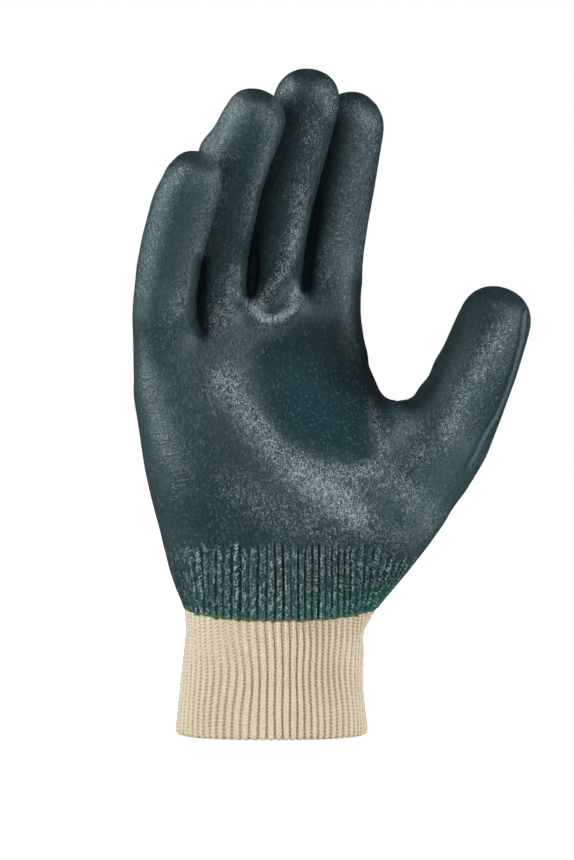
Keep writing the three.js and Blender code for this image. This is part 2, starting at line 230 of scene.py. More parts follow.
class WristOutline:
    """The smooth outline of the wrist at each height, from the CAD nodes, and the rib that a point lies on.

    Angles are measured about the section's centre, 0 towards the palm's side, growing towards the thumb.
    """

    def __init__(self, ribs):
        tree = tree_of(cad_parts["palm"].data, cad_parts["knit_wrist"].data)
        self.ribs = ribs
        self.heights = np.arange(0.5, 90, 1.5) * MM
        self.angles = np.linspace(-math.pi, math.pi, OUTLINE_TURNS, endpoint=False)
        self.centres = np.array([self.centre_at(tree, z) for z in self.heights])
        rough = np.array([
            [self.reach(tree, x, a, z) for a in self.angles] for x, z in zip(self.centres, self.heights)
        ])
        rough += self.inset_of_mean(rough)
        waves = np.fft.rfft(rough, axis=1)
        waves[:, OUTLINE_WAVES:] = 0
        self.radii = self.smooth_upwards(np.fft.irfft(waves, OUTLINE_TURNS, axis=1))
        self.centres = self.smooth_upwards(self.centres[:, None])[:, 0]
        own = np.array([self.run_shares(x, r) for x, r in zip(self.centres, self.radii)])
        dip_row = int(np.argmin(np.abs(self.heights - DIP_HEIGHT)))
        self.shares = np.array([self.upright_shares(i, own, dip_row) for i in range(len(self.heights))])
        self.rib_marks, self.rib_numbers = self.rib_table()

    @staticmethod
    def reach(tree, x, angle, z):
        way = Vector((math.sin(angle), -math.cos(angle), 0))
        hit = tree.ray_cast(Vector((x, 0, z)) + way * 0.15, -way)
        return (hit[0] - Vector((x, 0, z))).length

    def centre_at(self, tree, z):
        right = self.reach(tree, 0, math.pi / 2, z)
        left = self.reach(tree, 0, -math.pi / 2, z)
        return (right - left) / 2

    def inset_of_mean(self, radii):
        """How far the CAD's ribs lie inside the outline on average."""
        depth = -np.cos(self.angles) * radii
        height = self.heights[:, None]
        on_knit = height < DIP_HEIGHT + DIP_SLOPE * depth - 0.2 * MM
        on_ribs = height < SEAM_HEIGHT + 2 * MM
        return np.where(on_knit, 0.9 * MM, np.where(on_ribs, 0.5 * MM, 0.0))

    @staticmethod
    def smooth_upwards(rows):
        reach = 3
        weights = np.exp(-0.5 * (np.arange(-reach, reach + 1) / 1.6) ** 2)
        padded = np.concatenate([rows[:1]] * reach + [rows] + [rows[-1:]] * reach)
        total = sum(w * padded[i:i + len(rows)] for i, w in enumerate(weights))
        return total / weights.sum()

    def run_shares(self, centre, radii):
        """Each angle's share of the way round, one half where the ribs stand upright."""
        x = centre + np.sin(self.angles) * radii
        y = -np.cos(self.angles) * radii
        steps = np.hypot(np.diff(x, append=x[:1]), np.diff(y, append=y[:1]))
        run = np.concatenate([[0], np.cumsum(steps)])
        front = np.abs(self.angles) < 1.2
        upright = np.interp(UPRIGHT_X, x[front], run[:-1][front])
        return (run - upright) / run[-1] + 0.5

    def upright_shares(self, row, own, dip_row):
        """Shares that stay over the same X across the front, so that the ribs stand upright there."""
        front = np.flatnonzero(np.abs(self.angles) < 1.5)
        x = [self.centres[i] + np.sin(self.angles) * self.radii[i] for i in range(len(self.heights))]
        wanted = np.interp(x[row][front], x[dip_row][front], own[dip_row][front])
        inside = (x[row][front] > UPRIGHT_LEFT) & (x[row][front] < UPRIGHT_RIGHT)
        first, last = front[inside][0], front[inside][-1]
        low, high = wanted[inside][0], wanted[inside][-1]
        given = own[row]
        moved = given.copy()
        moved[first:last + 1] = wanted[inside]
        stretch_right = (low + 1 - high) / (given[first] + 1 - given[last])
        moved[last + 1:] = high + (given[last + 1:] - given[last]) * stretch_right
        moved[:first] = low - (given[first] - given[:first]) * stretch_right
        return moved

    def rib_table(self):
        marks = np.linspace(0, 1, 1001)
        density = np.interp(marks, *zip(*RIB_DENSITY))
        blur = np.exp(-0.5 * (np.arange(-60, 61) / 22) ** 2)
        round_about = np.concatenate([density[-61:-1], density, density[1:61]])
        density = np.convolve(round_about, blur / blur.sum(), "valid")
        numbers = np.concatenate([[0], np.cumsum((density[1:] + density[:-1]) / 2)])
        return marks, numbers * self.ribs / numbers[-1]

    def row_of(self, z):
        place = np.clip((z - self.heights[0]) / (self.heights[1] - self.heights[0]), 0, len(self.heights) - 1.001)
        low = place.astype(int)
        return low, place - low

    def look_up(self, table, z, angle, whole_turn=0):
        row, up = self.row_of(z)
        place = (angle + math.pi) / (2 * math.pi) * OUTLINE_TURNS
        column = np.floor(place).astype(int) % OUTLINE_TURNS
        across = place - np.floor(place)
        after = (column + 1) % OUTLINE_TURNS
        turn = np.where(after < column, whole_turn, 0)
        low = table[row, column] * (1 - across) + (table[row, after] + turn) * across
        high = table[row + 1, column] * (1 - across) + (table[row + 1, after] + turn) * across
        return low * (1 - up) + high * up

    def centre(self, z):
        row, up = self.row_of(z)
        return self.centres[row] * (1 - up) + self.centres[row + 1] * up

    def angle_of(self, points):
        return np.arctan2(points[:, 0] - self.centre(points[:, 2]), -points[:, 1])

    def radius(self, z, angle):
        return self.look_up(self.radii, z, angle)

    def share(self, z, angle):
        return self.look_up(self.shares, z, angle, whole_turn=1)

    def rib_number(self, z, angle):
        share = self.share(z, angle)
        whole = np.floor(share)
        turn = 2 * math.pi * share
        drift = 0.05 * np.sin(z / MM / 10 + turn * 6) + 0.03 * np.sin(z / MM / 5 + turn * 12)
        front = np.clip(share - whole, 0.25, 0.75) - 0.5
        drift += 0.6 * np.exp(-((z / MM - 27) / 12) ** 2) * np.sin(4 * math.pi * front)
        return np.interp(share - whole, self.rib_marks, self.rib_numbers) + whole * self.ribs + drift

    def point(self, z, angle, inset):
        reach = self.radius(z, angle) - inset
        return np.stack([self.centre(z) + np.sin(angle) * reach, -np.cos(angle) * reach, z], axis=1)

    def angle_of_columns(self, columns, z):
        """The angle of each column at a height, so that each column keeps to its place on its rib."""
        angles = np.linspace(-math.pi, math.pi, OUTLINE_TURNS * 4 + 1)
        numbers = self.rib_number(np.full(len(angles), z), np.minimum(angles, math.pi - 1e-9))
        numbers = np.maximum.accumulate(numbers)
        wanted = (np.arange(columns) + 0.5) / COLUMNS_PER_RIB
        wanted = np.mod(wanted - numbers[0], self.ribs) + numbers[0]
        return np.interp(wanted, numbers, angles)

    def dip_line(self, columns, angle):
        """The height of the coating's edge at each column."""
        depth = self.point(np.full(columns, DIP_HEIGHT), angle, 0)[:, 1]
        return DIP_HEIGHT + DIP_SLOPE * depth


# Marks on the palm's side, placed as the camera sees them: points in millimetres across and up, in the plane
# through the origin that faces it.
# Raised or sunken lines: height, width and points
STROKES = {
    "fold_lip": (2.4, 3.0, ((11.2, 179.6), (10, 174), (7.2, 169.6), (3.2, 166.8), (-1.2, 166), (-6, 167.6),
                            (-9.6, 170.8), (-11.2, 174.4))),
    "pocket": (-1.8, 4.2, ((8.8, 180.6), (6, 176.4), (2.8, 173.4), (-1.2, 171.6))),
    "beside_lip": (-1.8, 2.4, ((-8, 175.6), (-8, 182), (-7.2, 189.2))),
    "middle_ridge": (1.8, 3.2, ((-6.4, 173.6), (-1, 179.5), (5.2, 185.6), (8.8, 195.2))),
    "ring_root": (0.9, 5.0, ((-15.6, 175.6), (-17.2, 169.2))),
}
CREASES = {
    "little_and_ring": (-2.4, 2.4, ((-28.4, 189.2), (-29, 182), (-29.8, 174), (-29.4, 166.8), (-27.8, 161.6))),
    "ring_and_middle": (-2.4, 2.0, ((-7.6, 199.6), (-8.8, 190), (-9.4, 182), (-9.6, 176.4))),
    "middle_and_index": (-2.2, 2.2, ((17.4, 212), (16.2, 203.6), (14.8, 194), (13.8, 186), (13, 178.8))),
}
# Changes of the outline, on the palm's side and the back alike: height, width and points
CARVED = (
    (-2, 6.5, ((56, 137.6), (60.8, 142.8))),
    (-1, 4, ((39.6, 147.6), (43.2, 140.4))),
    (-1.1, 3, ((45.6, 136.4), (46.4, 135.6))),
    (1.2, 2.8, ((50, 132.4), (51.2, 132.4))),
    (-1.3, 3.2, ((54.8, 135.6), (55.6, 136))),
    (1, 9, ((-55.6, 164), (-55.2, 140))),
    (0.6, 5, ((36.4, 180), (36.8, 164))),
    (-1.4, 6, ((-41.6, 230), (-44.8, 225.2))),
    (-2, 7, ((-24.4, 246), (-19.2, 251.6))),
    (-1, 5, ((41.2, 253.6), (43.2, 250.8))),
)
# The ridge of the thumb's seam, from the tip down, and how far to each side of it a point still counts
THUMB_SEAM = (
    (101.6, 169.2), (100.2, 158), (97.2, 146.8), (93.2, 134.8), (89.4, 126.4), (85, 119.2), (81.2, 111.2),
    (78.4, 106.8),
)
SEAM_REACH = 5
# The smooth hollow of the palm, and the height where it fades away
HOLLOW_EDGE = (
    (-8.8, 153.2), (-6.8, 143.6), (-3.2, 133.2), (1.6, 124.4), (6.4, 118), (15.2, 114), (27.6, 110.8), (38, 111.6),
    (38.4, 118.8), (36.8, 124.4), (37.6, 130.8), (36, 137.2), (32, 145.2), (29.6, 156), (27.2, 166.8),
    (11.2, 167.6), (4.8, 163.2), (-4, 158.8),
)
HOLLOW_FADE = 140 * MM, 164 * MM
# Soft marks: strength, radius and points. Where the grit's bump is stronger and more pale glints are painted on
# it, where it catches the light:
GRIT_AND_GLINTS = (
    (0.8, 8.5, ((-20, 142.8), (-8.8, 126.8), (1.2, 114), (15.2, 102.8), (31.2, 94.8))),
    (0.9, 9, ((11.2, 106), (23.2, 94), (35.2, 86))),
    (0.75, 6, ((7.2, 112), (19.2, 106.8), (31.2, 104.4), (39.2, 106))),
    (0.5, 10, ((-12.8, 98), (7.2, 86), (31.2, 84), (51.2, 80))),
    (0.65, 4.2, ((38.4, 133.2), (42, 124), (44.8, 114))),
    (0.6, 10, ((43.2, 105.2), (55.2, 98), (63.2, 86))),
    (0.62, 5.5, ((93.2, 162), (87.2, 154), (80, 141.2), (73.6, 130), (69.6, 118.8))),
    (0.5, 6, ((69.6, 118.8), (61.2, 113.2), (51.2, 106))),
    (0.35, 6, ((51.2, 128), (57.2, 122))),
    (1, 3.6, ((11.2, 178), (8, 171.6), (3.2, 166.8), (-2.4, 166), (-8, 170.8))),
    (0.75, 4.6, ((-6.4, 173.6), (5.2, 185.6), (8.8, 195.2), (11.6, 205.6), (12.4, 218))),
    (0.65, 6, ((-12.8, 183.6), (-18, 174), (-23.2, 162.8))),
    (0.25, 9, ((-20, 162), (-26.4, 154), (-28.8, 144))),
    (0.3, 7, ((-4, 154.8), (11.2, 156.8), (21.2, 153.2))),
    (0.6, 4.8, ((-35.2, 227.6), (-41.6, 220), (-45.6, 208), (-48.8, 194), (-51.6, 178))),
    (0.55, 6, ((-23.6, 225.6), (-21.2, 218.8), (-26.8, 205.6), (-30.4, 191.6), (-35.2, 178), (-40.8, 164))),
    (0.6, 7, ((-13.6, 254.8), (-18.4, 246.4), (-24.4, 236.4), (-21.6, 230.8))),
    (0.6, 4.4, ((0.4, 250), (1.2, 242.8), (-2, 230), (-6.4, 218), (-9.6, 202))),
    (0.7, 4, ((6.8, 260.4), (3.6, 256.4))),
    (0.65, 4, ((20, 260.4), (24.4, 255.2), (22.8, 248.4))),
    (0.45, 6, ((14.4, 242), (17.6, 232), (12.8, 220))),
    (0.38, 7.5, ((33.6, 250.8), (39.2, 245.6), (36, 227.2), (28, 205.6), (24, 195.2), (19.6, 183.6))),
    (0.4, 2.6, ((38, 208), (35.6, 188))),
    (0.35, 3.2, ((30, 154.8), (33.2, 146), (36.8, 138))),
    (0.4, 3, ((22.4, 138.8), (26.8, 130.8))),
)
# Painted sheen: where the coat's colour is made paler in place of soft highlights:
SHEEN = (
    (0.27, 11, ((-55.2, 162), (-53.6, 140), (-50.4, 118), (-45.6, 94), (-40, 80))),
    (0.85, 5.5, ((-40.8, 220.4), (-45.6, 205.2), (-48.8, 190.8), (-52, 170))),
    (0.6, 9, ((-28.8, 218), (-33.6, 198), (-40.8, 174))),
    (0.85, 7.5, ((-15.2, 250.8), (-24, 236))),
    (0.5, 4, ((0, 246), (-4, 226))),
    (0.6, 4, ((6.8, 260.4), (3.6, 256.4))),
    (0.3, 9, ((11.2, 104), (27.2, 94), (45.2, 88))),
    (0.4, 5, ((92, 160), (80, 140), (71.2, 122.8))),
    (0.6, 10, ((76, 114), (65.2, 98), (58.4, 82))),
    (0.4, 7, ((34.4, 244), (29.2, 208), (23.2, 190))),
    (0.9, 3.6, ((7.2, 171.6), (1.6, 166.4), (-4.8, 167.6))),
)
# Where the coat lies in the shade of a finger or of the fold:
DIM = (
    (0.8, 5.2, ((7.6, 246), (3.6, 230), (-0.8, 216), (-4.8, 200), (-8, 180))),
    (0.85, 4.6, ((27.2, 244), (23.2, 228), (19.2, 212), (16, 196), (14, 181.2))),
    (0.42, 5, ((-18.4, 225.2), (-17.2, 214), (-21.2, 198), (-24.8, 186.8))),
    (0.2, 4.5, ((-32.8, 216), (-35.2, 202), (-40, 184))),
    (0.95, 4.2, ((35.2, 180), (36.8, 162), (41.2, 146.8), (48, 135.6), (54.4, 132.4))),
    (0.6, 9, ((7.2, 158), (19.2, 158.8), (26.4, 154))),
    (0.5, 5.5, ((23.2, 166.8), (24.8, 156), (26.4, 145.2))),
    (0.85, 7.5, ((82.4, 169.2), (73.2, 156), (66.4, 144), (59.2, 133.2))),
    (0.6, 4.5, ((84, 174.8), (91.2, 176.4), (97.6, 172.4))),
    (0.7, 3.2, ((10.8, 263.6), (15.2, 262), (20, 263.2))),
    (0.65, 3.2, ((-9.6, 256.8), (-2.4, 254.8), (3.2, 247.6))),
    (0.7, 3.2, ((-36, 231.6), (-30.4, 230.4), (-25.6, 226.8))),
    (0.4, 3, ((32, 255.6), (40.8, 253.2))),
    (0.4, 7, ((-18.8, 122), (-12.8, 106.8))),
    (0.35, 7, ((-26.8, 162), (-28.8, 146))),
)
WRINKLED = ((0.9, 11, ((-48.8, 142), (-42.8, 114), (-37.6, 86))),)


# Where the digits run into the palm: side (-1 palm, 1 back, 0 all round), X, Z and the radii, in millimetres.
BLENDS = (
    (0, -54, 139, 12, 28),
    (0, 50, 133, 11, 10),
    (0, 74, 93, 16, 18),
    (-1, -36, 151, 13, 10),
    (-1, -16, 160, 14, 9),
    (-1, 24, 168, 12, 12),
    (0, 36, 168, 8, 14),
    (-1, 44, 114, 14, 16),
    (-1, 58, 100, 14, 16),
    (1, -38, 152, 20, 14),
    (1, -10, 160, 24, 12),
    (1, 22, 166, 18, 12),
    (1, 48, 110, 22, 26),
    (-1, 22, 133, 26, 14),
)
BLEND_ROUNDS = 260


def fill_group(piece, name, weights):
    group = piece.vertex_groups.get(name) or piece.vertex_groups.new(name=name)
    steps = np.rint(weights * 20).astype(int)
    for step in range(1, 21):
        members = np.flatnonzero(steps == step)
        if len(members):
            group.add(members.tolist(), step / 20, "REPLACE")


def inside_outline(points, corners):
    """Which points lie in a closed outline."""
    inside = np.zeros(len(points), dtype=bool)
    for (ax, az), (bx, bz) in zip(corners, corners[1:] + corners[:1]):
        crossing = (points[:, 1] > az) != (points[:, 1] > bz)
        if az != bz:
            inside ^= crossing & (points[:, 0] < ax + (points[:, 1] - az) * (bx - ax) / (bz - az))
    return inside


def as_seen(points):
    """Where the camera sees points: across and up, in the plane through the origin that faces it."""
    nearer = -CAMERA_Y / (points[:, 1] - CAMERA_Y)
    across = UPRIGHT_X + (points[:, 0] - UPRIGHT_X) * nearer
    return np.stack([across, CAMERA_HEIGHT + (points[:, 2] - CAMERA_HEIGHT) * nearer], axis=1)


def steps_of(points, stroke):
    """For each step of a stroke: the way it runs, and how points lie off it."""
    for start, end in zip(stroke[:-1], stroke[1:]):
        a = np.array(start) * MM
        way = np.array(end) * MM - a
        share = np.clip(((points - a) @ way) / (way @ way), 0, 1)
        yield way, points - a - share[:, None] * way


def distance_to_stroke(points, stroke):
    return np.minimum.reduce([np.linalg.norm(off, axis=1) for _, off in steps_of(points, stroke)])


def offset_from_stroke(points, stroke):
    """The distance to a stroke, less than 0 on its right as it runs."""
    found = np.full(len(points), 1e9)
    for way, off in steps_of(points, stroke):
        far = np.linalg.norm(off, axis=1)
        side = np.sign(way[0] * off[:, 1] - way[1] * off[:, 0])
        found = np.where(far < np.abs(found), far * side, found)
    return found


def nearness(points, stroke, width):
    """1 on a stroke, fading away beside it."""
    return np.exp(-(distance_to_stroke(points, stroke) / (width * MM)) ** 2)


def marked(points, strokes):
    """How strongly each point is touched by soft marks."""
    return np.maximum.reduce([strength * nearness(points, stroke, radius) for strength, radius, stroke in strokes])


class HandSkin:
    """The coated skin, made from the outer faces of the CAD's palm and digits."""

    def __init__(self, settings, outline):
        self.settings = settings
        self.outline = outline

    def build(self):
        piece = remeshed(new_object("coated_hand", self.closed_outer_skin()), SKIN_VOXEL)
        piece = self.thinned(self.blended(smoothed(piece, SMOOTH_ROUNDS)))
        self.sculpt(piece.data)
        self.fit_to_outline(piece.data)
        lining = self.lining_of(piece)
        self.cut_below(piece.data, HAND_CUT, 0)
        self.join(piece.data, self.ribbed_band(), lining)
        self.paint(piece.data)
        return piece

    def closed_outer_skin(self):
        bm = bmesh.new()
        for node in HAND_NODES:
            bm.from_mesh(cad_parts[node].data)
        bmesh.ops.remove_doubles(bm, verts=bm.verts, dist=0.01 * MM)
        cuts = {digit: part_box(digit) for digit in DIGITS}
        levels = [low.z for low, _ in cuts.values()]
        levels += [z - 0.3 * MM for z in levels]
        bmesh.ops.delete(bm, geom=[f for f in bm.faces if self.is_cut_face(f, levels)], context="FACES_ONLY")
        for shell in self.shells(bm):
            if self.signed_volume(shell) < 0:
                bmesh.ops.delete(bm, geom=shell, context="FACES")
        loose = [v for v in bm.verts if not v.link_faces]
        bmesh.ops.delete(bm, geom=loose, context="VERTS")
        for low, high in cuts.values():
            rims = [e for e in bm.edges if e.is_boundary and self.on_root(e, low, high)]
            bmesh.ops.bridge_loops(bm, edges=rims)
        rim = [e for e in bm.edges if e.is_boundary]
        made = bmesh.ops.extrude_edge_only(bm, edges=rim)["geom"]
        below = [g for g in made if isinstance(g, bmesh.types.BMVert)]
        bmesh.ops.translate(bm, verts=below, vec=(0, 0, -10 * MM))
        ring = [e for e in bm.edges if e.is_boundary]
        bmesh.ops.holes_fill(bm, edges=ring, sides=0)
        bmesh.ops.recalc_face_normals(bm, faces=bm.faces)
        bmesh.ops.triangulate(bm, faces=bm.faces)
        return mesh_from(bm, "coated_hand")

    @staticmethod
    def is_cut_face(face, levels):
        places = [v.co for v in face.verts]
        for level in levels:
            if all(abs(p.z - level) < 0.02 * MM for p in places):
                return True
        low = all(abs(p.z - DIP_HEIGHT - DIP_SLOPE * p.y) < 0.4 * MM for p in places)
        return low and face.normal.z < -0.9

    @staticmethod
    def shells(bm):
        left = set(bm.faces)
        while left:
            shell = {left.pop()}
            front = set(shell)
            while front:
                front = {n for f in front for e in f.edges for n in e.link_faces} & left
                left -= front
                shell |= front
            yield list(shell)

    @staticmethod
    def signed_volume(shell):
        centre = sum((f.calc_center_median() for f in shell), Vector()) / len(shell)
        return sum((f.calc_center_median() - centre).dot(f.normal) * f.calc_area() for f in shell)

    @staticmethod
    def on_root(edge, low, high):
        reach = 1 * MM
        for v in edge.verts:
            if abs(v.co.z - low.z) > 0.5 * MM:
                return False
            if not (low.x - reach < v.co.x < high.x + reach and low.y - reach < v.co.y < high.y + reach):
                return False
        return True

    @staticmethod
    def blended(piece):
        """Smooths the places where a digit runs into the palm."""
        points = coordinates(piece.data)
        outwards = normals(piece.data)
        weights = np.zeros(len(points))
        for side, x, z, radius_x, radius_z in BLENDS:
            far = ((points[:, 0] / MM - x) / radius_x) ** 2 + ((points[:, 2] / MM - z) / radius_z) ** 2
            facing = smoothstep(-0.1, 0.35, outwards[:, 1] * side) if side else 1
            weights = np.maximum(weights, smoothstep(1.4, 0.5, np.sqrt(far)) * facing)
        fill_group(piece, "blend", weights)
        return smoothed(piece, BLEND_ROUNDS, "blend")

    @staticmethod
    def thinned(piece):
        step = piece.modifiers.new("thin", "DECIMATE")
        step.ratio = SKIN_THINNED
        return with_modifiers_applied(piece)

    def sculpt(self, mesh):
        points = coordinates(mesh)
        outwards = normals(mesh)
        points += outwards * SMOOTH_BACK
        palm_side = smoothstep(0.0, 0.7, -outwards[:, 1])
        flat = as_seen(points)
        move = np.zeros(len(points))
        for height, width, stroke in (*STROKES.values(), *CREASES.values()):
            move += height * MM * nearness(flat, stroke, width) * palm_side
        for height, width, stroke in CARVED:
            move += height * MM * nearness(flat, stroke, width)
        points += outwards * move[:, None]
        put_coordinates(mesh, points)

    def lining_of(self, piece):
        lining = new_object("lining_draft", piece.data.copy())
        put_coordinates(lining.data, coordinates(lining.data) - normals(lining.data) * self.settings.wall)
        lining = smoothed(remeshed(lining, LINING_VOXEL), 2)
        mesh = lining.data
        with editing(mesh) as bm:
            self.keep_inside(bm, tree_of(piece.data))
        self.cut_below(mesh, DIP_HEIGHT, DIP_SLOPE)
        bpy.data.objects.remove(lining)
        return mesh

    @staticmethod
    def keep_inside(bm, tree):
        """Moves the lining inwards where a face comes too near the skin, as it does between the fingers."""
        faces = bm.faces[:]
        for _ in range(LINING_ROUNDS):
            crowded = []
            for face in faces:
                for place in (face.calc_center_median(), *(v.co for v in face.verts)):
                    nearest, normal, _, _ = tree.find_nearest(place)
                    lack = LINING_DEPTH - (nearest - place).dot(normal)
                    if lack > LINING_SLACK:
                        crowded.append((face, normal * min(lack, MM) * -0.5))
                        break
            for face, move in crowded:
                bmesh.ops.translate(bm, verts=face.verts, vec=move)
            faces = list(dict.fromkeys(f for face, _ in crowded for v in face.verts for f in v.link_faces))

    @staticmethod
    def cut_below(mesh, height, slope):
        with editing(mesh) as bm:
            bmesh.ops.bisect_plane(
                bm, geom=bm.verts[:] + bm.edges[:] + bm.faces[:], dist=0.02 * MM,
                plane_co=(0, 0, height), plane_no=(0, -slope, 1), clear_inner=True,
            )

    def fit_to_outline(self, mesh):
        points = coordinates(mesh)
        z = points[:, 2]
        target = self.outline.point(z, self.outline.angle_of(points), 0)
        points += (target - points) * smoothstep(*FITTED_TO_OUTLINE, z)[:, None]
        put_coordinates(mesh, points)

    def ribbed_band(self):
        """The coat over the top of the knit, from just above the seam down to the dip line."""
        columns = self.settings.ribs * COLUMNS_PER_RIB
        rows = np.linspace(0, 1, BAND_ROWS)
        table = np.zeros((len(rows), columns, 3))
        for i, down in enumerate(rows):
            level = BAND_TOP + (DIP_HEIGHT - BAND_TOP) * down
            angle = self.outline.angle_of_columns(columns, level)
            level = np.full(columns, level)
            share = self.outline.share(level, angle) % 1
            valley = rib_valley(self.outline.rib_number(level, angle))
            turn = 2 * math.pi * share
            uneven = 0.28 * np.sin(turn * 41) + 0.22 * np.sin(turn * 18 + 1) - 0.25 * valley
            edge = self.outline.dip_line(columns, angle) + uneven * MM
            table[i] = self.on_ribs(BAND_TOP + (edge - BAND_TOP) * down, angle)
        return wrapped_grid("ribbed_band", table, closed=False)

    def on_ribs(self, z, angle):
        share = self.outline.share(z, angle) % 1
        rib = self.outline.rib_number(z, angle)
        under_seam = self.under_seam(z, share, rib)
        strength = under_seam * self.rib_strength(share, rib)
        valley = rib_valley(rib)
        rope = np.cos(2 * math.pi * (stitch_rows(z, rib, self.settings) - 2.4 * np.abs(rib - np.rint(rib))))
        relief = self.settings.rib_depth * strength * (0.1 - 1.25 * valley)
        relief += 0.07 * MM * strength * rope * (1 - valley)
        return self.outline.point(z, angle, 0.15 * MM * under_seam - relief)

    def under_seam(self, z, share, rib):
        """1 on the ribbed band and 0 on the hand. Each rib begins at a height of its own."""
        own = 0.9 * own_wave(rib, self.settings.ribs, 33) * MM
        return smoothstep(1.8 * MM, -1.4 * MM, z - self.seam_height(share) - own)

    @staticmethod
    def seam_height(share):
        """Where the ribs begin: uneven, and lower on the thumb's side."""
        turn = 2 * math.pi * share
        uneven = 0.7 * np.sin(turn * 11) + 0.5 * np.sin(turn * 27 + 2)
        lower = smoothstep(0.62, 0.76, share) * smoothstep(0.98, 0.86, share)
        return SEAM_HEIGHT - 6 * MM * lower + uneven * MM

    def rib_strength(self, share, rib):
        """How deep each rib's valley is: faint at the front's far left, and no two quite alike."""
        number, ribs = np.floor(rib), self.settings.ribs
        own = 0.78 + 0.22 * own_wave(number, ribs, 25) + 0.15 * own_wave(number, ribs, 51)
        return own * (1 - 0.7 * smoothstep(0.12, 0.18, share) * smoothstep(0.33, 0.27, share))

    @staticmethod
    def join(mesh, band, lining):
        """Sews the hand, the ribbed band and the lining into one closed wall."""
        with editing(mesh) as bm:
            bm.from_mesh(band)
            upper = BAND_TOP - 1 * MM
            rims = [e for e in bm.edges if e.is_boundary and all(v.co.z > upper for v in e.verts)]
            bmesh.ops.bridge_loops(bm, edges=rims)
            outer = set(bm.faces)
            bm.from_mesh(lining)
            bmesh.ops.bridge_loops(bm, edges=[e for e in bm.edges if e.is_boundary])
            for face in bm.faces:
                if face not in outer:
                    face.material_index = 1
            bmesh.ops.recalc_face_normals(bm, faces=bm.faces)
            bmesh.ops.triangulate(bm, faces=[f for f in bm.faces if len(f.verts) > 4])
        bpy.data.meshes.remove(band)
        bpy.data.meshes.remove(lining)
        shade_smooth(mesh)

    def paint(self, mesh):
        """Per-vertex values that the coat's material reads."""
        points = coordinates(mesh)
        z = points[:, 2]
        angle = self.outline.angle_of(points)
        share = self.outline.share(z, angle) % 1
        rib = self.outline.rib_number(z, angle)
        edge = z - DIP_HEIGHT - DIP_SLOPE * points[:, 1]
        thumb_side = 0.45 + 0.55 * smoothstep(0, 36 * MM, points[:, 0])
        flat = as_seen(points)
        forwards = -normals(mesh)[:, 1]
        palm_side = smoothstep(0.0, 0.5, forwards)
        corners = tuple((x * MM, z * MM) for x, z in HOLLOW_EDGE)
        to_edge = distance_to_stroke(flat, HOLLOW_EDGE + HOLLOW_EDGE[:1])
        depth = np.where(inside_outline(flat, corners), to_edge, -to_edge)
        hollow = np.clip(0.5 + depth / (8 * MM), 0, 1) * palm_side
        off_seam = np.clip(offset_from_stroke(flat, THUMB_SEAM) / MM, -SEAM_REACH, SEAM_REACH)
        # Painted shade in the creases between the fingers
        creased = np.maximum.reduce([nearness(flat, stroke, width) for _, width, stroke in CREASES.values()])
        put_attributes(
            mesh,
            ribbed=self.under_seam(z, share, rib) * self.rib_strength(share, rib),
            near_edge=(1 - smoothstep(0, 20 * MM, edge)) * thumb_side,
            rim=1 - smoothstep(0.2 * MM, 1.3 * MM, edge),
            hollow=hollow,
            bare=hollow * (1 - 0.42 * smoothstep(*HOLLOW_FADE, flat[:, 1])),
            # Stronger grit bump and more painted glints where the grit catches the light
            sandy=marked(flat, GRIT_AND_GLINTS) * palm_side,
            sheen=marked(flat, SHEEN) * smoothstep(-0.5, -0.1, forwards),
            dim=marked(flat, DIM) * palm_side,
            wrinkled=marked(flat, WRINKLED),
            off_seam=np.where(palm_side > 0.02, off_seam, SEAM_REACH),
            creased=creased * smoothstep(-0.4, 0.2, forwards),
            **stitch_values(z, rib, self.settings),
        )


